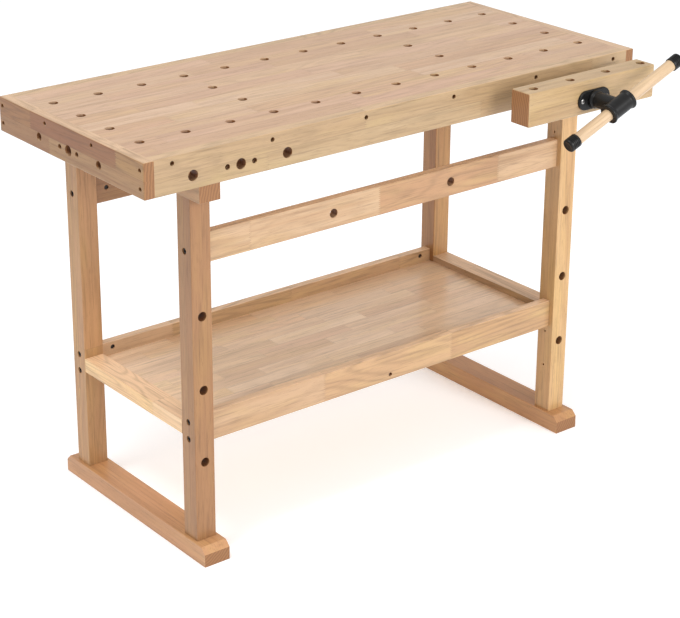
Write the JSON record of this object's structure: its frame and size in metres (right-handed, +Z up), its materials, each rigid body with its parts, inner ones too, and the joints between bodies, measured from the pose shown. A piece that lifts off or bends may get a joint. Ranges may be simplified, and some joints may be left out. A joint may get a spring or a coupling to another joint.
{
  "type": "woodworking bench with vise",
  "caption": "Woodworking bench: dog-hole top framed by deep aprons, end frames on long feet, stretchers, low shelf, and a front screw vise with wooden chop and sliding handle.",
  "frame": {"origin": "on the floor, under the middle of the whole bounding box, which includes the vise at its rest opening", "axes": "+X along the bench to the right, +Y from the vise's side to the back, +Z up"},
  "size_m": [1.22, 0.6995, 0.882],
  "materials": {
    "top_wood": "satin lacquer",
    "frame_wood": "satin lacquer",
    "shelf_wood": "satin lacquer",
    "chop_wood": "satin lacquer",
    "handle_wood": "satin lacquer",
    "fastener_steel": "zinc plated",
    "turned_steel": "turned and oiled",
    "black_iron": "satin black",
    "nut_bronze": "machined",
    "bush_plastic": "matte",
    "cap_plastic": "satin black"
  },
  "bodies": {
    "frame": {"top_panel": "top_wood", "front_apron": "top_wood", "back_apron": "top_wood", "left_skirt": "top_wood", "right_skirt": "top_wood", "bearer_left": "frame_wood", "bearer_right": "frame_wood", "leg_front_left": "frame_wood", "leg_front_right": "frame_wood", "leg_back_left": "frame_wood", "leg_back_right": "frame_wood", "foot_left": "frame_wood", "foot_right": "frame_wood", "stretcher_front": "frame_wood", "stretcher_back": "frame_wood", "shelf_apron_front": "shelf_wood", "shelf_apron_back": "shelf_wood", "shelf_rail_left": "shelf_wood", "shelf_rail_right": "shelf_wood", "shelf_panel": "shelf_wood", "shelf_cleat_front": "shelf_wood", "shelf_cleat_back": "shelf_wood", "shelf_cross_cleat": "shelf_wood", "rail_dowels": "shelf_wood", "panel_screws": "fastener_steel", "skirt_screws": "fastener_steel", "bearer_screws": "fastener_steel", "leg_top_bolts": "fastener_steel", "leg_foot_bolts": "fastener_steel", "frame_bolts": "fastener_steel", "barrel_nuts": "fastener_steel", "cleat_screws": "fastener_steel", "cross_cleat_screws": "fastener_steel", "vise_bracket": "black_iron", "bracket_bolts": "fastener_steel", "bracket_nuts": "fastener_steel", "screw_nut": "nut_bronze", "nut_set_screw": "fastener_steel", "guide_bush_left": "bush_plastic", "guide_bush_right": "bush_plastic"},
    "vise_jaw": {"vise_chop": "chop_wood", "chop_flange": "black_iron", "flange_screws": "fastener_steel", "guide_rod_left": "turned_steel", "guide_rod_right": "turned_steel", "guide_rod_pins": "turned_steel"},
    "vise_screw": {"vise_screw": "turned_steel", "thrust_collar": "turned_steel", "handle_socket": "black_iron", "socket_pin": "turned_steel"},
    "handle": {"handle_bar": "handle_wood", "handle_cap_lower": "cap_plastic", "handle_cap_upper": "cap_plastic"}
  },
  "joints": [
    {"name": "jaw_slide", "type": "slide", "parent": "frame", "child": "vise_jaw", "axis": [0, -1, 0], "range_m": [-0.0501, 0.1001]},
    {"name": "screw_turn", "type": "hinge", "parent": "vise_jaw", "child": "vise_screw", "pos_m": [0.3925, -0.25875, 0.801], "axis": [0, -1, 0], "range_deg": [-3600, 7200]},
    {"name": "handle_slide", "type": "slide", "parent": "vise_screw", "child": "handle", "axis": [0.9239, 0, 0.3827], "range_m": [-0.124, 0.091]}
  ],
  "couplings": [
    {"joint": "jaw_slide", "follows": "screw_turn", "m_per_rad": 0.00079577}
  ]
}
